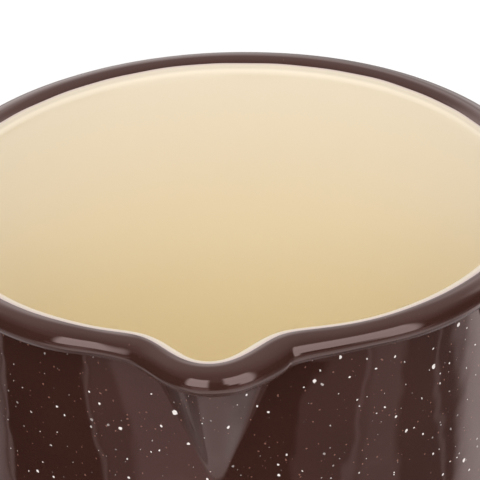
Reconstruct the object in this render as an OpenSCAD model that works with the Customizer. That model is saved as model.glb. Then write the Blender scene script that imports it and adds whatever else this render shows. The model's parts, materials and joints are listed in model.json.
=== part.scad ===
// Candle melting pot: an enamelled steel pan with a rolled rim, one pressed pouring spout and a
// long turned wooden handle on a through rod, with a hanging ring at its end.
// Millimetres, +Z up. The origin is the centre of the flat base, the spout points along -Y and
// the handle along +X. Angles round the pot start at the spout and grow towards the handle.

/* [Pot] */
// Diameter over the rolled rim
rim_d = 142; // [136:1:150]
// Height of the rim's top above the base
pot_h = 104; // [96:1:120]
// Thickness of the steel sheet with its outer enamel
wall_t = 1.1; // [1.0:0.1:1.4]
// Thickness of the cream enamel inside
lining_t = 0.35; // [0.25:0.05:0.5]
// How much narrower the wall is at the base, on the radius
wall_taper = 2; // [0:0.5:4]
// Inside radius of the corner between wall and base
corner_r = 12; // [8:1:16]

/* [Rolled rim] */
// Width of the rolled rim, measured outwards
bead_w = 7.7; // [6.5:0.1:8.5]
// Height of the rolled rim
bead_h = 6.6; // [5.6:0.1:7.2]
// How much slimmer the rolled rim is beside the spout, as a share
bead_slim = 0.13; // [0:0.01:0.2]
// How much fuller the rolled rim is on the spout's handle side, as a share
bead_full = 0.16; // [0:0.01:0.2]

/* [Pouring spout] */
// How far the spout is pressed out of the round rim
spout_out = 9.5; // [8:0.5:12]
// Half width of the spout at the rim, in degrees round the pot
spout_half = 8.3; // [6.5:0.1:9]
// How far down from the rim the spout reaches
spout_drop = 32; // [22:1:34]
// How far the spout's tip dips below the rest of the rim
spout_dip = 1.9; // [0:0.1:2.5]
// How far the rim is drawn in beside the spout
draw_in = 4.2; // [0:0.1:5]
// Spread of that drawn-in stretch, in degrees
draw_half = 23; // [16:0.5:24]
// How far the middle of that stretch is off to the handle's side, in degrees
draw_at = 3; // [0:0.5:4]

/* [Handle] */
// Height at which the handle's axis meets the wall
handle_z = 70; // [62:1:74]
// Upward tilt of the handle, in degrees
handle_tilt = 14; // [8:1:20]
// Length of the wooden grip
grip_len = 119; // [100:1:130]
// Greatest diameter of the wooden grip
grip_d = 27; // [25:0.5:29]
// Diameter of the rod through the grip
rod_d = 6; // [5:0.5:6]

/* [Hanging ring] */
// Diameter of the ring at the middle of its wire
ring_d = 30; // [28:1:34]
// Diameter of the ring's wire
ring_wire = 3; // [2.5:0.1:3]

/* [Hidden] */

brown = [0.20, 0.11, 0.09];
cream = [0.87, 0.78, 0.62];
steel = [0.72, 0.72, 0.71];
wood = [0.42, 0.23, 0.12];

// ---- the pot's surface ----
half_w = bead_w / 2;
half_h = bead_h / 2;
bead_z = pot_h - half_h;
rim_in_r = rim_d / 2 - bead_w;
corner_top = wall_t + corner_r;
spout_end = bead_z - spout_drop;
// The curl stops short of the wall, and the cream enamel ends on the rim's inner shoulder.
curl_end = -124;
lining_end = 137;

// Directions round the pot: close together across the spout, wider apart elsewhere.
spout_zone = 24;
spout_step = 1.5;
far_steps = 56;
far_step = (360 - 2 * spout_zone) / far_steps;
around = concat([for (a = [-spout_zone:spout_step:spout_zone]) a],
                [for (i = [1:far_steps - 1]) spout_zone + i * far_step]);
turns = len(around);

function wrap(a) = a > 180 ? a - 360 : a;
function bell(a, half) = exp(-pow(wrap(a) / half, 2));
function up_spout(z) = max(0, min(1, (z - spout_end) / spout_drop));
// The spout starts softly at its lower tip and then widens and deepens like a cone. Its
// cross-section has steeper sides near the tip than at the rim.
function spout_depth(s) = 1.08 * s * s / (s + 0.08);
function spout_width(s) = spout_half * (0.08 + 0.92 * s);
function spout_bell(a, s) = exp(-pow(abs(wrap(a)) / spout_width(s), 2.8 - 0.8 * s));
function straight_r(z) = rim_in_r - wall_taper * (bead_z - z) / (bead_z - corner_top);
// Inside radius of the steel wall at an angle and a height.
function inside_r(a, z) =
    let (s = up_spout(z))
    straight_r(z) + spout_out * spout_depth(s) * spout_bell(a, s)
    - draw_in * s * s * bell(a - draw_at, draw_half);
function on_wall(a, z) = inside_r(a, z) * [sin(a), -cos(a)];
function outward(a, z) =
    let (d = on_wall(a + 0.2, z) - on_wall(a - 0.2, z), n = [d.y, -d.x])
    n / norm(n);
function dip(a, z) = spout_dip * pow(up_spout(z), 2) * bell(a, 1.4 * spout_half);
// The pressing leaves the rolled rim slimmer at two places and fuller between them.
function girth(a) =
    1 - bead_slim * (bell(a + 22, 6) + bell(a - 29, 9)) + bead_full * bell(a - 8, 7);

// A station is one ring of points. Below the rim it is ["wall", z, distance out of the inner face].
// On the rim it is ["bead", angle round the bead, depth below the bead's surface].
// Near the base it is ["base", radius, z].
function station_point(a, st) =
    st[0] == "base" ? [st[1] * sin(a), -st[1] * cos(a), st[2]]
    : st[0] == "wall" ?
        let (p = on_wall(a, st[1]) + st[2] * outward(a, st[1]))
        [p.x, p.y, st[1] - dip(a, st[1])]
    : let (w = half_w * girth(a), h = half_h * girth(a),
           p = on_wall(a, bead_z) + (w + (w - st[2]) * cos(st[1])) * outward(a, bead_z))
      [p.x, p.y, bead_z - dip(a, bead_z) + (h - st[2]) * sin(st[1])];

// Heights at which the wall is cut into rings, from above the corner to just under the rim.
wall_levels = concat([corner_top, 40, spout_end],
                     [for (s = [0.08, 0.18, 0.3, 0.44, 0.6, 0.76, 0.9]) spout_end + s * spout_drop]);
function wall_stations(out) = [for (z = wall_levels) ["wall", z, out]];
// The corner between base and wall, out of the inner face by a distance.
function corner_stations(out) =
    [for (t = [0:18:72])
        ["base", straight_r(corner_top) - corner_r + (corner_r + out) * sin(t),
         corner_top - (corner_r + out) * cos(t)]];
function bead_stations(from, to, steps, depth) =
    [for (i = [0:steps]) ["bead", from + (to - from) * i / steps, depth]];
function reversed(list) = [for (i = [len(list) - 1:-1:0]) list[i]];

// A closed skin through rings of points, with one point at the centre of each end.
module skin(stations, z_first, z_last) {
    rings = len(stations);
    points = concat([[0, 0, z_first]],
                    [for (st = stations) for (a = around) station_point(a, st)],
                    [[0, 0, z_last]]);
    last = rings * turns + 1;
    function at(ring, i) = 1 + ring * turns + i % turns;
    faces = concat(
        [for (i = [0:turns - 1]) [0, at(0, i + 1), at(0, i)]],
        [for (r = [0:rings - 2]) for (i = [0:turns - 1])
            [at(r, i), at(r, i + 1), at(r + 1, i + 1)]],
        [for (r = [0:rings - 2]) for (i = [0:turns - 1])
            [at(r, i), at(r + 1, i + 1), at(r + 1, i)]],
        [for (i = [0:turns - 1]) [last, at(rings - 1, i), at(rings - 1, i + 1)]]);
    polyhedron(points = points, faces = faces, convexity = 10);
}

// Drawn steel shell: inner face, over the rolled rim, back inside the curl and down the outer face.
module pot_body() {
    color(brown)
    skin(concat(corner_stations(0), wall_stations(0),
                bead_stations(180, curl_end, 13, 0),
                bead_stations(curl_end, 180, 8, wall_t),
                reversed(wall_stations(wall_t)), reversed(corner_stations(wall_t))),
         wall_t, 0);
}

// Cream glass enamel fused to the inside, thinning out to nothing on the rim's inner shoulder.
module inner_enamel() {
    color(cream)
    skin(concat(corner_stations(-lining_t), wall_stations(-lining_t),
                bead_stations(180, (180 + lining_end) / 2, 1, -lining_t),
                [["bead", lining_end, 0]],
                [["bead", (180 + lining_end) / 2, 0], ["bead", 180, 0]],
                reversed(wall_stations(0)), reversed(corner_stations(0))),
         wall_t + lining_t, wall_t);
}

// ---- the handle ----
outer_r = straight_r(handle_z) + wall_t;
// The handle's own frame starts a little inside the wall, so that its neck can be cut to the wall.
sunk = 4;
neck_len = 32;
neck_end_r = 9.5;
neck_foot_r = 14;
neck_t = 1.3;
neck_wall = 2;
flange_r = 18;
flange_t = 1.4;
guard_t = 0.8;
guard_r = 15.5;
washer_t = 1.8;
spigot_r = 9.7;
spigot_len = 16;
ferrule_t = 0.8;
cap_spigot = 11;
rod_gap = 0.3;
rod_r = rod_d / 2;
guard_z = neck_len;
washer_z = guard_z + guard_t;
grip_z = washer_z + washer_t;
grip_end = grip_z + grip_len;
end_washer_z = grip_end + ferrule_t;
eye_z = end_washer_z + 1;
eye_collar = 4;
hole_z = eye_z + 12.5;
rod_end = eye_z + 6.5;
nut_t = 5;
nut_z = neck_len - neck_wall - nut_t;
rod_start = nut_z - 2;

// Places something on the handle's axis: local +Z runs outwards along the handle.
module on_handle() {
    translate([outer_r - sunk, 0, handle_z]) rotate([0, 90 - handle_tilt, 0]) children();
}
module tube(r_in, r_out, z, h) {
    translate([0, 0, z]) rotate_extrude($fn = 96)
        translate([r_in, 0]) square([r_out - r_in, h]);
}
// The space that the pot's outer wall fills, grown by a distance.
module wall_space(grow) {
    low = 30;
    high = 99;
    rotate([0, 0, 180]) rotate_extrude($fn = 180)
        polygon([[0, low], [straight_r(low) + wall_t + grow, low],
                 [straight_r(high) + wall_t + grow, high], [0, high]]);
}

// Pressed steel neck with a round foot welded to the wall, enamelled with the pot.
module handle_neck() {
    function neck_r(t) = neck_end_r + (neck_foot_r - neck_end_r) * pow(max(0, 1 - t / 24), 2);
    steps = [0, 4, 8, 12, 16, 20, 24];
    color(brown)
    difference() {
        union() {
            intersection() {
                wall_space(flange_t);
                on_handle() cylinder(r = flange_r, h = 14, $fn = 96);
            }
            on_handle() rotate_extrude($fn = 96)
                polygon(concat([[0, 0]], [for (t = steps) [neck_r(t), t]],
                               [[neck_end_r, neck_len - 1], [neck_end_r - 1, neck_len],
                                [0, neck_len]]));
        }
        wall_space(0);
        on_handle() rotate_extrude($fn = 96)
            polygon(concat([[0, -1], [neck_r(0) - neck_t, -1]],
                           [for (t = steps) [neck_r(t) - neck_t, t]],
                           [[neck_end_r - neck_t, neck_len - neck_wall],
                            [0, neck_len - neck_wall]]));
        on_handle() cylinder(r = rod_r + rod_gap, h = neck_len + 1, $fn = 64);
    }
}

// Hexagon nut held inside the neck.
module neck_nut() {
    flats = 10;
    color(steel) on_handle() translate([0, 0, nut_z]) difference() {
        cylinder(d = flats / cos(30), h = nut_t, $fn = 6);
        translate([0, 0, -1]) cylinder(r = rod_r, h = nut_t + 2, $fn = 64);
    }
}

// Long rod that pulls the eye, the cap, the grip and the guard together against the neck.
module tie_rod() {
    color(steel) on_handle() rotate_extrude($fn = 96)
        polygon([[0, rod_start], [rod_r - 0.6, rod_start], [rod_r, rod_start + 0.6],
                 [rod_r, rod_end], [0, rod_end]]);
}

// Stainless dish that keeps the flame's heat off the grip.
module flame_guard() {
    color(steel) on_handle() rotate_extrude($fn = 96)
        polygon([[rod_r + rod_gap, guard_z], [10.5, guard_z], [guard_r - 1.6, guard_z - 2.6],
                 [guard_r, guard_z - 2.9], [guard_r, guard_z - 2.1],
                 [guard_r - 1.4, guard_z - 1.8], [10.8, guard_z + guard_t],
                 [rod_r + rod_gap, guard_z + guard_t]]);
}

// Fibre washer between the hot guard and the wood.
module heat_washer() {
    color([0.12, 0.12, 0.12]) on_handle() tube(rod_r + rod_gap, spigot_r - 0.4, washer_z, washer_t);
}

// Steel ferrule that keeps the grip's front end from splitting.
module front_ferrule() {
    color(steel) on_handle() rotate_extrude($fn = 96)
        polygon([[spigot_r, grip_z], [spigot_r + ferrule_t - 0.3, grip_z],
                 [spigot_r + ferrule_t, grip_z + 0.3],
                 [spigot_r + ferrule_t, grip_z + spigot_len],
                 [spigot_r, grip_z + spigot_len]]);
}

// Turned wooden grip, slim behind the ferrule, fullest under the palm and round at its end.
function grip_r(t) =
    let (full = grip_d / 2, front = spigot_r + 1.3, back = spigot_r + 1.0, peak = 0.62)
    t < peak ? front + (full - front) * (1 - cos(180 * t / peak)) / 2
    : back + (full - back) * (1 + cos(180 * (t - peak) / (1 - peak))) / 2;
module grip() {
    front = grip_z + spigot_len;
    back = grip_end - cap_spigot;
    steps = 22;
    color(wood) on_handle() rotate_extrude($fn = 96)
        polygon(concat([[rod_r + rod_gap, grip_z], [spigot_r, grip_z], [spigot_r, front],
                        [grip_r(0) - 0.6, front]],
                       [for (i = [0:steps])
                           [grip_r(i / steps), front + 0.6 + (back - front - 1.2) * i / steps]],
                       [[grip_r(1) - 0.6, back], [spigot_r, back], [spigot_r, grip_end],
                        [rod_r + rod_gap, grip_end]]));
}

// Steel cap over the grip's outer end.
module end_cap() {
    outer = spigot_r + ferrule_t;
    color(steel) on_handle() rotate_extrude($fn = 96)
        polygon([[spigot_r, grip_end - cap_spigot], [outer, grip_end - cap_spigot],
                 [outer, grip_end - 1.2], [outer - 0.6, grip_end + 0.2],
                 [outer - 2, grip_end + ferrule_t], [rod_r + rod_gap, grip_end + ferrule_t],
                 [rod_r + rod_gap, grip_end], [spigot_r, grip_end]]);
}

// Flat washer under the eye.
module end_washer() {
    color(steel) on_handle() tube(rod_r + rod_gap, 6.4, end_washer_z, 1);
}

// Eye nut that screws on to the rod and carries the hanging ring.
module hang_eye() {
    lug_r = 6;
    lug_t = 5;
    hole_r = 2.4;
    color(steel) on_handle() difference() {
        union() {
            rotate_extrude($fn = 96)
                polygon([[0, eye_z], [5.2, eye_z], [5.5, eye_z + 0.3],
                         [5.5, eye_z + eye_collar - 0.6], [4.9, eye_z + eye_collar],
                         [4.4, eye_z + eye_collar + 1.5], [4.0, eye_z + eye_collar + 3],
                         [0, eye_z + eye_collar + 3]]);
            intersection() {
                translate([0, 0, hole_z]) rotate([90, 0, 0])
                    cylinder(r = lug_r, h = lug_t, center = true, $fn = 96);
                translate([0, 0, hole_z]) sphere(r = lug_r + 0.15, $fn = 96);
            }
            translate([-4, -lug_t / 2, eye_z + eye_collar + 1]) cube([8, lug_t, 5]);
        }
        translate([0, 0, hole_z]) rotate([90, 0, 0])
            cylinder(r = hole_r, h = 20, center = true, $fn = 64);
        translate([0, 0, eye_z - 1]) cylinder(r = rod_r, h = rod_end - eye_z + 1, $fn = 64);
    }
}

// Where the eye's hole crosses the handle's axis, in the pot's frame.
eye_at = [outer_r - sunk + hole_z * cos(handle_tilt), 0, handle_z + hole_z * sin(handle_tilt)];

// Wire ring hanging straight down from the eye.
module hanging_ring() {
    color(steel) translate(eye_at - [0, 0, ring_d / 2]) rotate([0, 90, 0])
        rotate_extrude($fn = 128) translate([ring_d / 2, 0]) circle(d = ring_wire, $fn = 48);
}

pot_body();
inner_enamel();
handle_neck();
neck_nut();
tie_rod();
flame_guard();
heat_washer();
front_ferrule();
grip();
end_cap();
end_washer();
hang_eye();
hanging_ring();
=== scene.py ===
import json
import math

import bmesh
import bpy
import numpy as np
from mathutils import Matrix, Vector


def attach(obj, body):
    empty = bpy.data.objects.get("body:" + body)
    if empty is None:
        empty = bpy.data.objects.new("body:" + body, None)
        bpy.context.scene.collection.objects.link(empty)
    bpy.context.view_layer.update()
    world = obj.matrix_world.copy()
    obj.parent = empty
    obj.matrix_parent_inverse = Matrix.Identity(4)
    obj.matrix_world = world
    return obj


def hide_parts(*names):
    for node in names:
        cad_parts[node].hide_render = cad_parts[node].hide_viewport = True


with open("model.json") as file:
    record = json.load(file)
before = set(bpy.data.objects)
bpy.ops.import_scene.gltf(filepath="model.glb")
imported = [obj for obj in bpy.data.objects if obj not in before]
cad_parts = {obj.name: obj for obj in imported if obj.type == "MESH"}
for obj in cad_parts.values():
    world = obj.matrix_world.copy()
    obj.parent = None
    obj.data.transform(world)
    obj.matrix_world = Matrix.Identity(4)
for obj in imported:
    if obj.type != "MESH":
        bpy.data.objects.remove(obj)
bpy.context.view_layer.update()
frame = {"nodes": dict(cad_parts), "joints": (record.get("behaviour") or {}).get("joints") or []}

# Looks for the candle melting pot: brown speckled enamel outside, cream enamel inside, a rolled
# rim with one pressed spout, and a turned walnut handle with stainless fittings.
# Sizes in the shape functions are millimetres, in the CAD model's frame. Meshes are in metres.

MM = 0.001

# ---------------------------------------------------------------- sizes, as the CAD has them
POT_H = 104.0
RIM_D = 142.0
WALL_T = 1.1
LINING_T = 0.35
WALL_TAPER = 2.0
CORNER_R = 12.0
BEAD_W = 7.7
BEAD_H = 6.6
BEAD_SLIM = 0.13
BEAD_FULL = 0.16
SPOUT_OUT = 9.5
SPOUT_HALF = 8.3
SPOUT_DROP = 32.0
SPOUT_DIP = 1.9
DRAW_IN = 4.2
DRAW_HALF = 23.0
DRAW_AT = 3.0
HANDLE_Z = 70.0
HANDLE_TILT = 14.0
GRIP_LEN = 119.0
GRIP_D = 27.0
ROD_R = 3.0
RING_D = 30.0
RING_WIRE = 3.0

HALF_W = BEAD_W / 2
HALF_H = BEAD_H / 2
BEAD_Z = POT_H - HALF_H
RIM_IN_R = RIM_D / 2 - BEAD_W
CORNER_TOP = WALL_T + CORNER_R
SPOUT_END = BEAD_Z - SPOUT_DROP

# Angles round the rolled rim's section, where 180 is its inner side, 90 its top and 0 its outer
# side. Behind, the cream ends where the CAD has it. In front it runs further out.
LINING_END = 137.0
LINING_END_FRONT = 100.0
CURL_END = -118.0

# Details that only the visual model has.
CREASE = 0.16
LIP = 0.10
LIP_AT = -46.0
LIP_HALF = 8.0


# ---------------------------------------------------------------- the pot's surface
def wrap(a):
    return (a + 180.0) % 360.0 - 180.0


def bell(a, half):
    return np.exp(-((wrap(a) / half) ** 2))


def up_spout(z):
    """0 at the spout's lower end, 1 at the middle of the rim."""
    return np.clip((z - SPOUT_END) / SPOUT_DROP, 0.0, 1.0)


def spout_depth(s):
    """How far out the spout is pressed, as a share of its reach at the rim."""
    return 1.08 * s * s / (s + 0.08)


def spout_half(s):
    """Half the spout's width in degrees, which grows from a blunt tip to the rim."""
    return SPOUT_HALF * (0.08 + 0.92 * s)


def spout_bell(a, s):
    """The spout's cross-section, which has steeper sides near its tip than at the rim."""
    return np.exp(-((np.abs(wrap(a)) / spout_half(s)) ** (2.8 - 0.8 * s)))


def crease(a, s):
    """The die's edge, a faint step down both sides of the spout that fades out at the rim."""
    plateau = np.exp(-((np.abs(wrap(a)) / (1.3 * spout_half(s))) ** 9))
    fade = np.clip(s / 0.25, 0.0, 1.0) * np.clip((1.0 - s) / 0.12, 0.0, 1.0)
    return CREASE * fade * plateau


def straight_r(z):
    return RIM_IN_R - WALL_TAPER * (BEAD_Z - z) / (BEAD_Z - CORNER_TOP)


def inside_r(a, z):
    """Inside radius of the steel wall at an angle from the spout and a height."""
    s = up_spout(z)
    return (straight_r(z) + SPOUT_OUT * spout_depth(s) * spout_bell(a, s) + crease(a, s)
            - DRAW_IN * s * s * bell(a - DRAW_AT, DRAW_HALF))


def on_wall(a, z):
    """Points on the steel's inner face, in plan."""
    r = inside_r(a, z)
    t = np.radians(a)
    return np.stack([r * np.sin(t), -r * np.cos(t)], -1)


def outward(a, z):
    d = on_wall(a + 0.2, z) - on_wall(a - 0.2, z)
    n = np.stack([d[:, 1], -d[:, 0]], -1)
    return n / np.linalg.norm(n, axis=1, keepdims=True)


def dip(a, z):
    """How far the pressing pulls the spout's edge down."""
    return SPOUT_DIP * up_spout(z) ** 2 * bell(a, 1.4 * SPOUT_HALF)


def girth(a):
    """How the pressing leaves the rolled rim slimmer at two places and fuller between them."""
    return 1.0 - BEAD_SLIM * (bell(a + 22, 6) + bell(a - 29, 9)) + BEAD_FULL * bell(a - 8, 7)


def ripple(a, amount, turns=(3, 5, 8, 13), phase=40.0):
    """A small unevenness round the pot, as drawn and enamelled steel has."""
    out = np.zeros_like(a)
    for i, n in enumerate(turns):
        out += np.sin(np.radians(n * a + phase * (i + 1))) / (1.0 + i)
    return amount * out


def join3(xy, z):
    return np.concatenate([xy, np.broadcast_to(z, (len(xy),))[:, None]], 1)


def wall_ring(a, z, out):
    """A ring on the wall, at a distance out of the steel's inner face."""
    uneven = ripple(a + 0.6 * z, 0.035)
    xy = on_wall(a, z) + (out + uneven)[:, None] * outward(a, z)
    return join3(xy, z - dip(a, z))


def bead_ring(a, angle, depth):
    """A ring on the rolled rim, at an angle round its section and a depth under its skin."""
    t = np.radians(angle)
    w, h = HALF_W * girth(a), HALF_H * girth(a)
    uneven = ripple(a, 0.05, (4, 7, 11, 19))
    # The curl's edge shows through the enamel as a fine lip along the rim's underside.
    lip = LIP * bell(angle - LIP_AT, LIP_HALF)
    off = w + (w - depth + lip) * np.cos(t) + uneven
    xy = on_wall(a, BEAD_Z) + off[:, None] * outward(a, BEAD_Z)
    return join3(xy, BEAD_Z - dip(a, BEAD_Z) + (h - depth + lip) * np.sin(t))


def base_ring(a, r, z):
    t = np.radians(a)
    return join3(np.stack([r * np.sin(t), -r * np.cos(t)], -1), z)


def corner_rings(a, out, steps):
    rings = []
    for i in range(steps):
        t = math.pi / 2 * i / steps
        r = straight_r(CORNER_TOP) - CORNER_R + (CORNER_R + out) * math.sin(t)
        rings.append(base_ring(a, r, CORNER_TOP - (CORNER_R + out) * math.cos(t)))
    return rings


def flat_rings(a, z, steps):
    """Rings across the flat base, from near its centre to where the corner starts."""
    edge = straight_r(CORNER_TOP) - CORNER_R
    return [base_ring(a, edge * (i + 1) / (steps + 1), z) for i in range(steps)]


# ---------------------------------------------------------------- mesh helpers
def link(mesh, name, materials):
    obj = bpy.data.objects.new(name, mesh)
    bpy.context.scene.collection.objects.link(obj)
    for m in materials:
        mesh.materials.append(m)
    mesh.shade_smooth()
    return obj


def between(lo, hi, n):
    """The faces between two rings of n vertices, which start at lo and hi."""
    faces = []
    for i in range(n):
        j = (i + 1) % n
        faces.append((lo + i, hi + i, hi + j, lo + j))
    return faces


def fix_normals(mesh, merge=False):
    bm = bmesh.new()
    bm.from_mesh(mesh)
    if merge:
        bmesh.ops.remove_doubles(bm, verts=bm.verts, dist=1e-7)
    bmesh.ops.recalc_face_normals(bm, faces=bm.faces)
    bm.to_mesh(mesh)
    bm.free()


def apply_modifiers(obj):
    view = bpy.context.evaluated_depsgraph_get()
    done = bpy.data.meshes.new_from_object(obj.evaluated_get(view))
    obj.modifiers.clear()
    obj.data = done
    done.shade_smooth()


def skin(name, rings, ends, materials, band_material=None, sharp=None):
    """A closed mesh through rings of points, with a point at each end. Millimetres in."""
    n = len(rings[0])
    verts = np.concatenate([[ends[0]]] + rings + [[ends[1]]]) * MM
    last = len(verts) - 1
    faces = []
    slots = []
    for i in range(n):
        faces.append((0, 1 + i, 1 + (i + 1) % n))
        slots.append(0)
    for r in range(len(rings) - 1):
        faces += between(1 + r * n, 1 + (r + 1) * n, n)
        slots += [band_material(r) if band_material else 0] * n
    tail = 1 + (len(rings) - 1) * n
    for i in range(n):
        faces.append((last, tail + (i + 1) % n, tail + i))
        slots.append(slots[-1])
    mesh = bpy.data.meshes.new(name)
    mesh.from_pydata(verts.tolist(), [], faces)
    mesh.polygons.foreach_set("material_index", slots)
    fix_normals(mesh)
    obj = link(mesh, name, materials)
    if sharp:
        mesh.set_sharp_from_angle(angle=math.radians(sharp))
    return obj


def rounded(points, radius, steps=4):
    """An outline with its corners rounded. Each point may give its own radius as a third value."""
    out = []
    n = len(points)
    for i in range(n):
        p = Vector(points[i][:2])
        r = points[i][2] if len(points[i]) > 2 else radius
        before, after = Vector(points[i - 1][:2]) - p, Vector(points[(i + 1) % n][:2]) - p
        r = min(r, before.length * 0.45, after.length * 0.45)
        if r < 1e-4:
            out.append(tuple(p))
            continue
        a, b = p + before.normalized() * r, p + after.normalized() * r
        for k in range(steps + 1):
            t = k / steps
            out.append(tuple(a * (1 - t) ** 2 + p * 2 * t * (1 - t) + b * t * t))
    return out


def lathe(name, outline, material, segments=160):
    """A closed outline of (radius, height) turned round the handle's axis. Millimetres in."""
    t = np.linspace(0, 2 * math.pi, segments, endpoint=False)
    verts = []
    for r, z in outline:
        verts.append(np.stack([r * np.cos(t), r * np.sin(t), np.full(segments, z)], -1))
    verts = np.concatenate(verts) * MM
    faces = []
    n = len(outline)
    for k in range(n):
        faces += between(k * segments, (k + 1) % n * segments, segments)
    mesh = bpy.data.meshes.new(name)
    mesh.from_pydata(verts.tolist(), [], faces)
    mesh.validate()
    fix_normals(mesh, merge=True)
    obj = link(mesh, name, [material])
    mesh.set_sharp_from_angle(angle=math.radians(50))
    obj.matrix_world = HANDLE
    return obj


# ---------------------------------------------------------------- material helpers
class Nodes:
    """A node tree, with short ways to add and join nodes."""

    def __init__(self, tree, coords):
        self.tree = tree
        self.coords = tree.nodes.new("ShaderNodeTexCoord").outputs[coords]

    def add(self, kind, values=(), **settings):
        n = self.tree.nodes.new(kind)
        for key, value in settings.items():
            setattr(n, key, value)
        for key, value in dict(values).items():
            self.put(n.inputs[key], value)
        return n

    def put(self, socket, value):
        if isinstance(value, bpy.types.NodeSocket):
            self.tree.links.new(value, socket)
        else:
            socket.default_value = value

    def math(self, operation, a, b=0.0):
        return self.add("ShaderNodeMath", {0: a, 1: b}, operation=operation).outputs[0]

    def vector(self, operation, a, b):
        """A vector node. For SCALE, b is the factor."""
        values = {0: a, "Scale" if operation == "SCALE" else 1: b}
        return self.add("ShaderNodeVectorMath", values, operation=operation).outputs[0]

    def split(self):
        """The coordinates' X, Y and Z."""
        return self.add("ShaderNodeSeparateXYZ", {0: self.coords}).outputs

    def noise(self, scale, detail=2.0, rough=0.5, vector=None):
        n = self.add("ShaderNodeTexNoise", {"Vector": vector or self.coords, "Scale": scale,
                                            "Detail": detail, "Roughness": rough})
        return n.outputs["Fac"]

    def stretch(self, x, y, z):
        n = self.add("ShaderNodeMapping", {"Vector": self.coords, "Scale": (x, y, z)})
        return n.outputs["Vector"]

    def remap(self, value, lo, hi, to_lo=0.0, to_hi=1.0, smooth=False):
        n = self.add("ShaderNodeMapRange", {"Value": value, "From Min": lo, "From Max": hi,
                                            "To Min": to_lo, "To Max": to_hi},
                     interpolation_type="SMOOTHSTEP" if smooth else "LINEAR")
        return n.outputs["Result"]

    def mix(self, amount, a, b):
        n = self.add("ShaderNodeMix", data_type="RGBA")
        self.put(n.inputs[0], amount)
        self.put(n.inputs[6], a)
        self.put(n.inputs[7], b)
        return n.outputs[2]

    def bump(self, height, depth_mm, strength=1.0, under=None):
        n = self.add("ShaderNodeBump", {"Height": height, "Distance": depth_mm * MM,
                                        "Strength": strength})
        if under is not None:
            self.put(n.inputs["Normal"], under)
        return n.outputs["Normal"]


class Shader(Nodes):
    """A material with one Principled surface."""

    def __init__(self, name):
        self.mat = bpy.data.materials.new(name)
        self.mat.use_nodes = True
        super().__init__(self.mat.node_tree, "Object")
        self.bsdf = self.tree.nodes["Principled BSDF"]

    def set(self, **values):
        for key, value in values.items():
            self.put(self.bsdf.inputs[key.replace("_", " ")], value)


BROWN = (0.046, 0.0180, 0.0132, 1)
BROWN_DEEP = (0.036, 0.0138, 0.0104, 1)
RIM_BROWN = (0.052, 0.0215, 0.0165, 1)
RIM_BROWN_DEEP = (0.040, 0.0160, 0.0120, 1)
GLAZE_TINT = (1.0, 0.80, 0.78, 1)
# Higher than glass. With it, dim panels give the front its sheen and the rim's top stays brown
# where it is seen at a low angle, from behind.
GLAZE_IOR = 1.8
SPECK = (0.90, 0.84, 0.80, 1)
SPECK_UNDER = (0.26, 0.13, 0.10, 1)
CREAM = (0.900, 0.794, 0.565, 1)
CREAM_DEEP = (0.880, 0.772, 0.540, 1)
# Painted lightening for the upper wall, where more direct light falls.
CREAM_PAINTED_TOP_LIGHT = (0.905, 0.820, 0.680, 1)
# Partly thin cream over the brown, partly painted shade on the upward-facing curl.
CREAM_THIN_AND_SHADE = (0.72, 0.635, 0.51, 1)
CREAM_EDGE = (0.56, 0.455, 0.43, 1)
CREAM_PIN = (0.50, 0.38, 0.24, 1)
WALNUT_PALE = (0.200, 0.091, 0.040, 1)
WALNUT_MID = (0.105, 0.042, 0.018, 1)
WALNUT_LATE = (0.055, 0.021, 0.010, 1)
WALNUT_FIBRE = (0.050, 0.020, 0.010, 1)
WALNUT_PORE = (0.018, 0.008, 0.005, 1)


def specks(s, spacing_mm, smallest, largest, seed, gather):
    """Flecks of different radii in mm, one at each cell's random point, more small than large."""
    shifted = s.vector("ADD", s.coords, (seed, seed * 0.7, seed * 1.3))
    warp = s.add("ShaderNodeTexNoise", {"Vector": shifted, "Scale": 1500.0, "Detail": 1.0})
    # A fine warp keeps them from being quite round.
    off = s.vector("SCALE", s.vector("SUBTRACT", warp.outputs["Color"], (0.5, 0.5, 0.5)), 0.6 * MM)
    where = s.vector("ADD", shifted, off)
    cell = s.add("ShaderNodeTexVoronoi", {"Vector": where, "Scale": 1.0 / (spacing_mm * MM),
                                          "Randomness": 1.0})
    pick = s.add("ShaderNodeSeparateColor", {0: cell.outputs["Color"]}).outputs[0]
    size = s.math("POWER", pick, gather)
    radius = s.remap(size, 0.0, 1.0, smallest / spacing_mm, largest / spacing_mm)
    edge = s.math("DIVIDE", cell.outputs["Distance"], radius)
    return s.remap(edge, 1.05, 0.8, smooth=True)


def enamel_wall():
    s = Shader("speckled_brown_enamel")
    base = s.mix(s.remap(s.noise(28.0, 3.0), 0.3, 0.7), BROWN_DEEP, BROWN)
    crowd = s.remap(s.noise(55.0, 2.0), 0.40, 0.55, 0.25, 1.0)
    # The spray of flecks thins out towards the rolled rim.
    height = s.split()[2]
    below = s.remap(height, 96.0 * MM, 88.0 * MM, 0.35, 1.0, smooth=True)
    crowd = s.math("MULTIPLY", crowd, below)
    faint = specks(s, 1.45, 0.03, 0.24, 0.31, 1.5)
    fine = specks(s, 1.9, 0.05, 0.34, 0.0, 1.7)
    large = specks(s, 6.0, 0.10, 0.62, 0.77, 1.3)
    fine = s.math("MULTIPLY", fine, s.remap(crowd, 0.2, 0.6, 0.25, 1.0))
    white = s.math("MAXIMUM", fine, large)
    colour = s.mix(s.math("MULTIPLY", faint, 0.8), base, SPECK_UNDER)
    colour = s.mix(white, colour, SPECK)
    # Drawn steel is a little uneven, and the enamel's reflections waver over it.
    wander = s.bump(s.noise(1.0, 2.0, 0.45, s.stretch(60.0, 60.0, 50.0)), 0.50)
    ripple_bump = s.bump(s.noise(95.0, 1.0), 0.05, 0.25, wander)
    s.set(Base_Color=colour, Roughness=0.05, IOR=GLAZE_IOR, Specular_Tint=GLAZE_TINT,
          Normal=s.bump(white, 0.05, 0.4, ripple_bump))
    return s.mat


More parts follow.
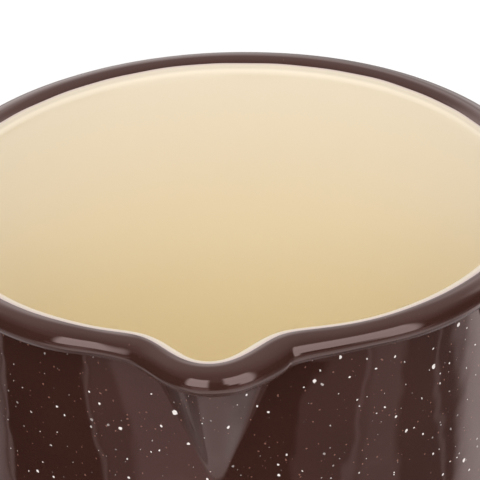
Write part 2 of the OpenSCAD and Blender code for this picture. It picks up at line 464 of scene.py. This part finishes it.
def enamel_rim():
    s = Shader("plain_brown_enamel")
    base = s.mix(s.remap(s.noise(30.0, 3.0), 0.3, 0.7), RIM_BROWN_DEEP, RIM_BROWN)
    pits = specks(s, 2.4, 0.02, 0.16, 0.9, 2.0)
    colour = s.mix(s.math("MULTIPLY", pits, 0.5), base, SPECK_UNDER)
    s.set(Base_Color=colour, Roughness=0.06, IOR=GLAZE_IOR, Specular_Tint=GLAZE_TINT,
          Normal=s.bump(s.noise(120.0, 1.0), 0.05, 0.25))
    return s.mat


def enamel_cream():
    s = Shader("cream_enamel")
    cloud = s.noise(18.0, 4.0, 0.6)
    deep = s.mix(s.remap(cloud, 0.3, 0.7), CREAM_DEEP, CREAM)
    # Paler up the wall: a painted lightening that stands in for the stronger direct light on the
    # upper wall. Pinkish where it runs out over the brown.
    height = s.split()[2]
    base = s.mix(s.remap(height, 30.0 * MM, 105.0 * MM, smooth=True), deep, CREAM_PAINTED_TOP_LIGHT)
    thin_and_shade = s.add("ShaderNodeAttribute", attribute_name="thin_and_shade").outputs["Fac"]
    # Darker over the rim's curl: partly the thinning cream letting the brown through, partly
    # painted shade that offsets the extra light the upward-facing curl gets from above.
    base = s.mix(s.remap(thin_and_shade, 0.35, 0.65, smooth=True), base, CREAM_THIN_AND_SHADE)
    base = s.mix(s.remap(thin_and_shade, 0.80, 1.0), base, CREAM_EDGE)
    pin = specks(s, 5.0, 0.0, 0.13, 0.5, 2.0)
    colour = s.mix(s.math("MULTIPLY", pin, 0.3), base, CREAM_PIN)
    s.set(Base_Color=colour, Roughness=0.46, IOR=1.36,
          Normal=s.bump(s.noise(90.0, 2.0), 0.05, 0.2))
    return s.mat


def stainless(name, roughness=0.26, colour=(0.52, 0.51, 0.49, 1), lines=2600.0):
    """Turned steel: fine rings along the local Z axis, a little smudging."""
    s = Shader(name)
    rings = s.noise(1.0, 2.0, vector=s.stretch(30.0, 30.0, lines))
    smudge = s.noise(140.0, 3.0)
    rough = s.remap(smudge, 0.3, 0.7, roughness * 0.8, roughness * 1.3)
    s.set(Base_Color=colour, Metallic=1.0, Roughness=rough, Normal=s.bump(rings, 0.02, 0.25))
    return s.mat


def polished_wire():
    s = Shader("polished_wire")
    smudge = s.noise(220.0, 3.0)
    s.set(Base_Color=(0.57, 0.56, 0.54, 1), Metallic=1.0,
          Roughness=s.remap(smudge, 0.3, 0.7, 0.10, 0.2),
          Normal=s.bump(s.noise(600.0, 2.0), 0.01, 0.2))
    return s.mat


def fibre():
    s = Shader("pressed_fibre")
    grain = s.noise(1800.0, 3.0, 0.7)
    colour = s.mix(s.remap(grain, 0.35, 0.7), (0.012, 0.011, 0.011, 1), (0.05, 0.045, 0.042, 1))
    s.set(Base_Color=colour, Roughness=0.8, Normal=s.bump(grain, 0.05, 0.6))
    return s.mat


def walnut():
    """Turned walnut, whose grain runs along the handle, the local Z axis."""
    s = Shader("oiled_walnut")
    wander = s.noise(1.0, 3.0, vector=s.stretch(26.0, 26.0, 5.0))
    across = s.split()[0]
    growth = s.math("ADD", s.math("MULTIPLY", across, 210.0), s.math("MULTIPLY", wander, 5.5))
    rings = s.math("FRACT", growth)
    late = s.remap(rings, 0.55, 1.0, smooth=True)
    fibres = s.noise(1.0, 5.0, 0.65, vector=s.stretch(1500.0, 1500.0, 45.0))
    streak = s.noise(1.0, 3.0, 0.6, vector=s.stretch(120.0, 120.0, 7.0))
    pores = s.noise(1.0, 2.0, 0.5, vector=s.stretch(2600.0, 2600.0, 150.0))
    pores = s.remap(pores, 0.62, 0.70, smooth=True)
    light = s.mix(s.remap(streak, 0.3, 0.7), WALNUT_MID, WALNUT_PALE)
    wood = s.mix(s.math("MULTIPLY", late, 0.62), light, WALNUT_LATE)
    wood = s.mix(s.remap(fibres, 0.4, 0.75, 0.0, 0.45), wood, WALNUT_FIBRE)
    wood = s.mix(s.math("MULTIPLY", pores, 0.75), wood, WALNUT_PORE)
    rough = s.remap(fibres, 0.3, 0.7, 0.36, 0.5)
    height = s.math("SUBTRACT", s.math("MULTIPLY", fibres, 0.4), pores)
    s.set(Base_Color=wood, Roughness=rough, Normal=s.bump(height, 0.06, 0.5))
    return s.mat


WALL_ENAMEL = enamel_wall()
RIM_ENAMEL = enamel_rim()
CREAM_ENAMEL = enamel_cream()
STAINLESS = stainless("turned_stainless")
PLATED = stainless("plated_steel", 0.34, (0.46, 0.45, 0.42, 1), 900.0)
WIRE = polished_wire()
FIBRE = fibre()
WALNUT = walnut()


# ---------------------------------------------------------------- the pot
# Directions round the pot, closer together across the spout.
AROUND = np.concatenate([np.arange(-30.0, 30.0, 0.25), np.arange(30.0, 330.0, 0.5)])


def make_pot_body():
    """Steel shell with its brown enamel. The enamel fills the seam between curl and wall."""
    a = AROUND
    rings = flat_rings(a, WALL_T, 3) + corner_rings(a, 0.0, 8)
    rings += [wall_ring(a, z, 0.0) for z in np.linspace(CORNER_TOP, BEAD_Z - 0.5, 40)]
    rings += [bead_ring(a, t, 0.0) for t in np.linspace(180, CURL_END, 110)]
    rim_last = len(rings)
    # A fillet of enamel from the curl's underside into the wall.
    low = BEAD_Z - HALF_H - 1.7
    start = bead_ring(a, CURL_END, 0.0)
    end = wall_ring(a, low, WALL_T)
    middle = wall_ring(a, low, WALL_T + 0.05)
    middle[:, 2] = BEAD_Z - dip(a, BEAD_Z) - HALF_H * girth(a) * 1.02
    for t in np.linspace(0, 1, 8)[1:]:
        rings.append(start * (1 - t) ** 2 + middle * 2 * t * (1 - t) + end * t * t)
    rings += [wall_ring(a, z, WALL_T) for z in np.linspace(low, CORNER_TOP, 72)[1:]]
    rings += corner_rings(a, WALL_T, 18)[::-1]
    rings += flat_rings(a, 0.0, 4)[::-1]

    def band(r):
        # The rim's plain enamel, slot 1, also covers the inside, which the lining hides.
        return 1 if r < rim_last + 2 else 0

    body = skin("pot_shell", rings, [(0, 0, WALL_T), (0, 0, 0)], [WALL_ENAMEL, RIM_ENAMEL], band)
    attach(body, "pan")
    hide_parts("pot_body")


def make_lining():
    """Cream enamel inside the pot, from the base up over the rim's inner shoulder."""
    a = AROUND
    # The cream runs higher up the rim's inner shoulder at the front than at the back.
    front = np.clip(0.5 + 0.9 * np.cos(np.radians(a)), 0.0, 1.0)
    stop = LINING_END - (LINING_END - LINING_END_FRONT) * front
    stop = stop + ripple(a, 1.8, (3, 8, 17, 31), 75.0) * (1.0 - 0.6 * front)
    rings = flat_rings(a, WALL_T + LINING_T, 6) + corner_rings(a, -LINING_T, 14)
    rings += [wall_ring(a, z, -LINING_T) for z in np.linspace(CORNER_TOP, BEAD_Z - 0.4, 70)]
    curl_starts = len(rings)
    steps = 10
    for i in range(steps + 1):
        u = i / steps
        rings.append(bead_ring(a, 180 + (stop - 180) * u, -LINING_T * (1 - u) ** 0.6))
    for i in range(1, 4):
        rings.append(bead_ring(a, stop + (180 - stop) * i / 3, 0.0))
    rings += [wall_ring(a, z, 0.0) for z in np.linspace(BEAD_Z - 0.4, CORNER_TOP, 30)]
    rings += corner_rings(a, 0.0, 8)[::-1]
    rings += flat_rings(a, WALL_T, 2)[::-1]
    lining = skin("cream_lining", rings, [(0, 0, WALL_T + LINING_T), (0, 0, WALL_T)],
                  [CREAM_ENAMEL], sharp=60)
    # The cream thins out over the rim, from 0 where the curl starts to 1 at its edge. The same
    # mask darkens the curl, partly for the thinning cream and partly as painted shade.
    thin_and_shade = np.zeros(len(lining.data.vertices))
    for i in range(steps + 1):
        first = 1 + (curl_starts + i) * len(a)
        thin_and_shade[first:first + len(a)] = i / steps
    lining.data.attributes.new("thin_and_shade", "FLOAT", "POINT").data.foreach_set("value", thin_and_shade)
    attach(lining, "pan")
    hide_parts("inner_enamel")


make_pot_body()
make_lining()

# ---------------------------------------------------------------- the handle's frame
# Heights along the handle's axis, Z, start where it sinks into the wall.
SUNK = 4.0
NECK_LEN = 32.0
NECK_END_R = 9.5
NECK_FOOT_R = 14.0
NECK_FLARE = 24.0
NECK_T = 1.3
NECK_EDGE = 0.9
FLANGE_R = 18.0
FLANGE_T = 1.4
FLANGE_EDGE = 1.2
GUARD_T = 0.8
GUARD_R = 15.5
WASHER_T = 1.8
SPIGOT_R = 9.7
SPIGOT_LEN = 16.0
FERRULE_T = 0.8
CAP_SPIGOT = 11.0
BORE_R = ROD_R + 0.3
WASHER_Z = NECK_LEN + GUARD_T
GRIP_Z = WASHER_Z + WASHER_T
GRIP_END = GRIP_Z + GRIP_LEN
END_WASHER_Z = GRIP_END + FERRULE_T
EYE_Z = END_WASHER_Z + 1.0
HOLE_Z = EYE_Z + 12.5
OUTER_R = straight_r(HANDLE_Z) + WALL_T
TILT = math.radians(HANDLE_TILT)
HANDLE = (Matrix.Translation(Vector((OUTER_R - SUNK, 0, HANDLE_Z)) * MM)
          @ Matrix.Rotation(math.pi / 2 - TILT, 4, "Y"))


def fit_handle(obj, node):
    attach(obj, "pan")
    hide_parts(node)


def neck_r(t):
    return NECK_END_R + (NECK_FOOT_R - NECK_END_R) * np.maximum(0, 1 - t / NECK_FLARE) ** 2


def make_neck():
    """Neck with a foot that lies on the wall, one smooth skin of enamel over both."""
    n = 192
    turn = np.linspace(0, 2 * math.pi, n, endpoint=False)
    origin = np.array(HANDLE.translation) / MM
    ex, ey, ez = (np.array(HANDLE.to_3x3().col[i]) for i in range(3))

    def on_axis(r, t):
        return (origin + np.outer(r * np.cos(turn), ex) + np.outer(r * np.sin(turn), ey)
                + t * ez)

    def against_wall(r, above):
        """Points at a radius round the handle's axis, moved along it to lie over the wall."""
        p = on_axis(r, 0.0)
        for _ in range(12):
            gap = np.hypot(p[:, 0], p[:, 1]) - straight_r(p[:, 2]) - WALL_T - above
            p = p - gap[:, None] * ez / math.cos(TILT)
        return p

    rings = [on_axis(BORE_R, NECK_LEN - 2.0)]
    rings += [on_axis(r, NECK_LEN) for r in (BORE_R, 5.0, NECK_END_R - NECK_EDGE)]
    for k in range(1, 6):
        t = math.pi / 2 * k / 5
        rings.append(on_axis(NECK_END_R - NECK_EDGE * (1 - math.sin(t)),
                             NECK_LEN - NECK_EDGE * (1 - math.cos(t))))
    rings += [on_axis(neck_r(t), t) for t in np.linspace(NECK_LEN - 1.5, 11.0, 22)]
    # From the neck's side a fillet runs out over the foot.
    side = on_axis(neck_r(9.5), 9.5)
    out = against_wall(15.6, FLANGE_T)
    knee = against_wall(neck_r(6.0) + 0.2, FLANGE_T + 0.2)
    for t in np.linspace(0, 1, 12):
        rings.append(side * (1 - t) ** 2 + knee * 2 * t * (1 - t) + out * t * t)
    for k in range(0, 7):
        t = math.pi / 2 * k / 6
        rings.append(against_wall(FLANGE_R - FLANGE_EDGE * (1 - math.sin(t)),
                                  FLANGE_T - FLANGE_EDGE * (1 - math.cos(t))))
    rings.append(against_wall(FLANGE_R, 0.02))
    rings.append(against_wall(NECK_FOOT_R - 2.0, 0.02))
    # The inside of the neck, which holds the nut.
    rings += [on_axis(neck_r(t) - NECK_T, t) for t in (8.0, 16.0, 24.0, NECK_LEN - 2.0)]
    faces = []
    for r in range(len(rings)):
        faces += between(r * n, (r + 1) % len(rings) * n, n)
    mesh = bpy.data.meshes.new("neck")
    mesh.from_pydata((np.concatenate(rings) * MM).tolist(), [], faces)
    fix_normals(mesh)
    obj = link(mesh, "enamelled_neck", [WALL_ENAMEL])
    mesh.set_sharp_from_angle(angle=math.radians(60))
    fit_handle(obj, "handle_neck")


def make_guard():
    """Thin dish whose rim turns back towards the pot."""
    top = NECK_LEN + GUARD_T
    points = [(BORE_R, NECK_LEN), (10.5, NECK_LEN, 1.2), (GUARD_R - 1.6, NECK_LEN - 2.6, 0.8),
              (GUARD_R, NECK_LEN - 2.9, 0.35), (GUARD_R, NECK_LEN - 2.1, 0.35),
              (GUARD_R - 1.4, NECK_LEN - 1.8, 0.8), (10.8, top, 1.2), (BORE_R, top)]
    fit_handle(lathe("heat_guard", rounded(points, 0.12, 5), STAINLESS),
               "flame_guard")


def make_heat_washer():
    outer = SPIGOT_R - 0.4
    points = [(BORE_R, WASHER_Z), (outer, WASHER_Z), (outer, GRIP_Z), (BORE_R, GRIP_Z)]
    fit_handle(lathe("fibre_washer", rounded(points, 0.25), FIBRE), "heat_washer")


def make_ferrule():
    """Ferrule with a rolled bead at its front and a groove where it is crimped on."""
    outer = SPIGOT_R + FERRULE_T
    back = GRIP_Z + SPIGOT_LEN
    points = [(SPIGOT_R, GRIP_Z), (outer - 0.3, GRIP_Z, 0.2), (outer, GRIP_Z + 0.5, 0.3),
              (outer, GRIP_Z + 2.4, 0.3), (outer - 0.3, GRIP_Z + 2.8, 0.3),
              (outer - 0.3, GRIP_Z + 3.2, 0.3), (outer, GRIP_Z + 3.6, 0.3),
              (outer, back - 3.4, 0.3), (outer - 0.3, back - 3.0, 0.3),
              (outer - 0.3, back - 2.6, 0.3), (outer, back - 2.2, 0.3),
              (outer, back, 0.15), (SPIGOT_R, back)]
    fit_handle(lathe("grip_ferrule", rounded(points, 0.05), STAINLESS),
               "front_ferrule")


def grip_r(t):
    """The grip's radius at a share of its length: full in the palm, slimmer at both ends."""
    full, front, back, peak = GRIP_D / 2, SPIGOT_R + 1.3, SPIGOT_R + 1.0, 0.62
    if t < peak:
        return front + (full - front) * (1 - math.cos(math.pi * t / peak)) / 2
    return back + (full - back) * (1 + math.cos(math.pi * (t - peak) / (1 - peak))) / 2


def make_grip():
    """Turned grip with two cut rings at its front and one near its end."""
    front, back = GRIP_Z + SPIGOT_LEN, GRIP_END - CAP_SPIGOT
    side = []
    steps = 220
    grooves = (front + 5.0, front + 7.4, back - 5.0)
    for i in range(steps + 1):
        z = front + (back - front) * i / steps
        edge = min(z - front, back - z)
        r = grip_r(i / steps)
        if edge < 1.0:
            r -= 1.0 - math.sqrt(max(0.0, 1 - (1 - edge) ** 2))
        for g in grooves:
            r -= 0.45 * math.exp(-((z - g) / 0.42) ** 2)
        side.append((r, z))
    outline = ([(BORE_R, GRIP_Z), (SPIGOT_R, GRIP_Z), (SPIGOT_R, front)] + side
               + [(SPIGOT_R, back), (SPIGOT_R, GRIP_END), (BORE_R, GRIP_END)])
    fit_handle(lathe("turned_grip", outline, WALNUT, 224), "grip")


def make_end_cap():
    """Cap with a groove where it is crimped on and a well rounded outer edge."""
    outer = SPIGOT_R + FERRULE_T
    start, top = GRIP_END - CAP_SPIGOT, GRIP_END + FERRULE_T
    points = [(SPIGOT_R, start), (outer, start, 0.15), (outer, start + 2.0, 0.3),
              (outer - 0.3, start + 2.4, 0.3), (outer - 0.3, start + 2.8, 0.3),
              (outer, start + 3.2, 0.3), (outer, top - 2.0, 1.4), (outer - 2.0, top, 1.4),
              (BORE_R, top, 0.1), (BORE_R, GRIP_END), (SPIGOT_R, GRIP_END, 0.3)]
    fit_handle(lathe("grip_cap", rounded(points, 0.05, 6), STAINLESS), "end_cap")


def make_end_washer():
    outer = 6.4
    points = [(BORE_R, END_WASHER_Z), (outer, END_WASHER_Z, 0.15), (outer, EYE_Z, 0.3),
              (BORE_R, EYE_Z)]
    fit_handle(lathe("cap_washer", rounded(points, 0.05), PLATED), "end_washer")


def turned_solid(outline, segments):
    """A turned solid that closes on its axis, for joining to others. Millimetres."""
    bm = bmesh.new()
    t = [2 * math.pi * i / segments for i in range(segments)]
    rows = []
    for r, z in outline:
        if r < 1e-6:
            rows.append([bm.verts.new((0, 0, z))])
        else:
            rows.append([bm.verts.new((r * math.cos(x), r * math.sin(x), z)) for x in t])
    for a, b in zip(rows, rows[1:]):
        for i in range(segments):
            j = (i + 1) % segments
            corners = [a[i % len(a)], a[j % len(a)], b[j % len(b)], b[i % len(b)]]
            unique = [v for k, v in enumerate(corners) if v not in corners[:k]]
            if len(unique) > 2:
                bm.faces.new(unique)
    bmesh.ops.recalc_face_normals(bm, faces=bm.faces)
    return bm


def make_eye():
    """Forged eye: a collar, a waisted shank and a drilled lug, blended together."""
    shank = [(0, EYE_Z), (5.2, EYE_Z), (5.5, EYE_Z + 0.3), (5.5, EYE_Z + 3.2), (5.1, EYE_Z + 3.8),
             (4.2, EYE_Z + 4.6), (3.2, EYE_Z + 6.0), (2.9, EYE_Z + 8.0), (0, EYE_Z + 8.5)]
    lug_r, lug_half, hole_r = 5.75, 2.3, 2.55
    across = Matrix.Translation((0, 0, HOLE_Z)) @ Matrix.Rotation(math.pi / 2, 4, "X")
    section = rounded([(hole_r, -lug_half, 0.9), (lug_r, -lug_half, 1.3), (lug_r, lug_half, 1.3),
                       (hole_r, lug_half, 0.9)], 0.9, 6)
    whole = bpy.data.meshes.new("eye")
    bm = turned_solid(shank, 72)
    lug = bmesh.new()
    turns = 96
    rows = [[lug.verts.new(across @ Vector((r * math.cos(2 * math.pi * i / turns),
                                            r * math.sin(2 * math.pi * i / turns), z)))
             for i in range(turns)] for r, z in section]
    for k in range(len(rows)):
        a, b = rows[k], rows[(k + 1) % len(rows)]
        for i in range(turns):
            j = (i + 1) % turns
            lug.faces.new((a[i], a[j], b[j], b[i]))
    part = bpy.data.meshes.new("lug")
    bmesh.ops.recalc_face_normals(lug, faces=lug.faces)
    lug.to_mesh(part)
    bm.from_mesh(part)
    bm.to_mesh(whole)
    bm.free()
    lug.free()
    bpy.data.meshes.remove(part)
    whole.transform(Matrix.Scale(MM, 4))
    obj = link(whole, "forged_eye", [STAINLESS])
    remesh = obj.modifiers.new("blend", "REMESH")
    remesh.mode = "VOXEL"
    remesh.voxel_size = 0.22 * MM
    soften = obj.modifiers.new("soften", "SMOOTH")
    soften.factor = 0.5
    soften.iterations = 9
    apply_modifiers(obj)
    obj.matrix_world = HANDLE
    fit_handle(obj, "hang_eye")


def make_ring():
    """Bent wire ring with the faint seam where its ends are butt-welded."""
    centre = Vector(frame["joints"][0]["pos_m"]) - Vector((0, 0, RING_D / 2 * MM))
    around, section = 200, 28
    verts = []
    faces = []
    for i in range(around):
        t = 2 * math.pi * i / around
        seam = 0.035 * math.exp(-((math.degrees(t) - 90) / 1.6) ** 2)
        wire = RING_WIRE / 2 - 0.04 + seam
        for k in range(section):
            c = 2 * math.pi * k / section
            r = RING_D / 2 + wire * math.cos(c)
            verts.append(Vector((wire * math.sin(c), r * math.sin(t), -r * math.cos(t))) * MM
                         + centre)
        faces += between(i * section, (i + 1) % around * section, section)
    mesh = bpy.data.meshes.new("ring")
    mesh.from_pydata([tuple(v) for v in verts], [], faces)
    fix_normals(mesh)
    ring = link(mesh, "wire_ring", [WIRE])
    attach(ring, "ring")
    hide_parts("hanging_ring")


make_neck()
make_guard()
make_heat_washer()
make_ferrule()
make_grip()
make_end_cap()
make_end_washer()
make_eye()
make_ring()
# The nut and the rod are out of sight in the handle, so they keep the CAD's shape.
for name in ("neck_nut", "tie_rod"):
    hidden = frame["nodes"][name]
    hidden.data.materials.clear()
    hidden.data.materials.append(PLATED)

# ---------------------------------------------------------------- camera
# The camera looks down on the rim from the front, a little to the handle's side of the spout.
VIEW_ELEVATION = 28.54
VIEW_AZIMUTH = 4.1
VIEW_ROLL = 1.975
VIEW_PAN = -0.150
VIEW_TILT = 0.498
# The distance from the rim's centre is in rim radii, to the middle of the rolled rim. The rim's
# radius in the picture is a share of the picture's width, and sets the lens.
VIEW_RADII = 14.0
VIEW_DISTANCE = VIEW_RADII * (RIM_D / 2 - HALF_W) * MM
RIM_SHARE = 0.6316
SENSOR = 36.0


def make_camera():
    e, az = math.radians(VIEW_ELEVATION), math.radians(VIEW_AZIMUTH)
    back = Vector((math.sin(az) * math.cos(e), -math.cos(az) * math.cos(e), math.sin(e)))
    right = Vector((math.cos(az), math.sin(az), 0))
    up = back.cross(right)
    place = Matrix((right, up, back)).transposed().to_4x4()
    place.translation = Vector((0, 0, BEAD_Z * MM)) + back * VIEW_DISTANCE
    turn = (Matrix.Rotation(math.radians(-VIEW_ROLL), 4, "Z")
            @ Matrix.Rotation(math.radians(VIEW_PAN), 4, "Y")
            @ Matrix.Rotation(math.radians(-VIEW_TILT), 4, "X"))
    data = bpy.data.cameras.new("camera")
    data.sensor_width = SENSOR
    data.lens = RIM_SHARE * VIEW_RADII * SENSOR
    data.clip_end = 50.0
    camera = bpy.data.objects.new("camera", data)
    bpy.context.scene.collection.objects.link(camera)
    camera.matrix_world = place @ turn
    bpy.context.scene.camera = camera


make_camera()


# ---------------------------------------------------------------- stage and light
def make_floor():
    size = 6.0
    mesh = bpy.data.meshes.new("floor")
    mesh.from_pydata([(-size, -size, 0), (size, -size, 0), (size, size, 0), (-size, size, 0)],
                     [], [(0, 1, 2, 3)])
    s = Shader("pale_floor")
    s.set(Base_Color=(0.95, 0.95, 0.95, 1), Roughness=0.8)
    floor = link(mesh, "floor", [s.mat])
    # Glossy surfaces see the studio's panels on every side, those for the table included.
    floor.visible_glossy = False


def area_light(name, place, aim, size, power, colour=(1, 1, 1)):
    data = bpy.data.lights.new(name, "AREA")
    data.shape = "RECTANGLE"
    data.size, data.size_y = size
    data.energy = power
    data.color = colour
    light = bpy.data.objects.new(name, data)
    bpy.context.scene.collection.objects.link(light)
    place = Vector(place)
    light.matrix_world = (Matrix.Translation(place)
                          @ (Vector(aim) - place).to_track_quat("-Z", "Y").to_matrix().to_4x4())
    light.visible_glossy = False


# What glossy surfaces see round them: soft boxes, pale boards and the darker gaps between them.
# Each is (from, to) in degrees round from the spout's side, (from, to) in degrees of height,
# edge softness in degrees, brightness and colour. Those that end at 181 leave no gap behind.
PANELS = [
    ("left box", (-43, -7), (-14, 42), 4.0, 2.35, (1, 0.95, 0.95)),
    ("right box", (19, 59), (4, 46), 4.0, 2.15, (1, 0.95, 0.95)),
    ("right box, low", (25, 59), (-8, 4), 4.0, 2.15, (1, 0.95, 0.95)),
    ("right box, lowest", (42, 59), (-20, -8), 4.0, 2.15, (1, 0.95, 0.95)),
    ("right board", (107, 150), (-48, 12), 6.0, 0.93, (1, 0.90, 0.88)),
    ("left board", (-150, -105), (-46, 0), 4.0, 0.31, (1, 0.85, 0.85)),
    ("left sweep", (-37, -6), (-41, -19), 3.0, 0.52, (1, 0.80, 0.80)),
    ("left sweep, dim", (-51, -37), (-41, -19), 3.0, 0.25, (1, 0.78, 0.78)),
    ("right sweep", (53, 72), (-41, -22), 3.0, 0.42, (1, 0.82, 0.82)),
    ("right sweep, dim", (26, 53), (-41, -22), 2.0, 0.23, (1, 0.78, 0.78)),
    ("right sweep, far", (72, 107), (-41, -22), 4.0, 0.15, (1, 0.8, 0.8)),
    ("left seam", (-53, -51), (-41, -19), 1.0, 0.40, (1, 0.85, 0.85)),
    ("right seam", (50, 52), (-41, -22), 1.0, 0.28, (1, 0.85, 0.85)),
    ("far left seam", (-104, -102), (-41, -19), 1.0, 0.35, (1, 0.85, 0.85)),
    ("far right seam", (94, 96), (-41, -22), 1.0, 0.28, (1, 0.85, 0.85)),
    ("table before the spout", (-70, 104), (-74, -42), 8.0, 0.80, (1, 0.95, 0.95)),
    ("table, left", (-181, -70), (-64, -42), 8.0, 0.38, (1, 0.92, 0.92)),
    ("table, right", (104, 181), (-64, -42), 8.0, 0.38, (1, 0.92, 0.92)),
    ("table, near", (-181, 181), (-91, -64), 3.0, 0.16, (1, 0.92, 0.92)),
    ("upper front", (-110, 110), (24, 42), 8.0, 0.16, (1, 0.9, 0.9)),
    ("back wall, left", (-181, -110), (4, 42), 10.0, 1.6, (1, 0.97, 0.95)),
    ("back wall, right", (110, 181), (4, 42), 10.0, 1.6, (1, 0.97, 0.95)),
    ("back wall, left, low", (-181, -110), (-30, 4), 10.0, 0.65, (1, 0.92, 0.90)),
    ("back wall, right, low", (110, 181), (-30, 4), 10.0, 0.65, (1, 0.92, 0.90)),
]
# The ceiling starts at a height in degrees and brightens from front to back.
CEILING_FROM = 42
CEILING_FRONT = 0.25
CEILING_BACK = 0.60
# What lights rough surfaces from all round. The camera itself sees plain white.
DIFFUSE_SKY = 0.90


def make_world():
    world = bpy.data.worlds.new("studio")
    world.use_nodes = True
    w = Nodes(world.node_tree, "Generated")
    x, y, z = w.split()
    around = w.math("DEGREES", w.math("ARCTAN2", x, w.math("MULTIPLY", y, -1.0)))
    height = w.math("DEGREES", w.math("ARCSINE", z))

    def within(value, low, high, soft):
        rise = w.remap(value, low - soft, low + soft, smooth=True)
        fall = w.remap(value, high - soft, high + soft, 1.0, 0.0, smooth=True)
        return w.math("MULTIPLY", rise, fall)

    ceiling = w.math("MULTIPLY", within(height, CEILING_FROM, 100, 12.0),
                     w.remap(y, -0.55, 0.45, CEILING_FRONT, CEILING_BACK, smooth=True))
    total = w.vector("SCALE", (1, 0.9, 0.88), ceiling)
    for name, sides, heights, soft, bright, colour in PANELS:
        amount = w.math("MULTIPLY", within(around, *sides, soft), within(height, *heights, soft))
        glow = w.vector("SCALE", [c * bright for c in colour], amount)
        glow.node.label = name
        total = w.vector("ADD", total, glow)
    path = w.add("ShaderNodeLightPath")
    plain = w.mix(path.outputs["Is Camera Ray"], (DIFFUSE_SKY,) * 3 + (1,), (1, 1, 1, 1))
    seen = w.mix(path.outputs["Is Glossy Ray"], plain, total)
    w.put(w.tree.nodes["Background"].inputs["Color"], seen)
    bpy.context.scene.world = world


def make_light():
    area_light("overhead", (-0.25, -0.15, 1.5), (0, 0, 0), (1.3, 1.3), 4.6, (1.0, 0.985, 0.97))
    area_light("front", (0.1, -1.6, 0.95), (0, 0, 0.08), (0.9, 0.6), 7.2)
    make_world()
    bpy.context.scene.view_settings.view_transform = "Standard"


make_floor()
make_light()
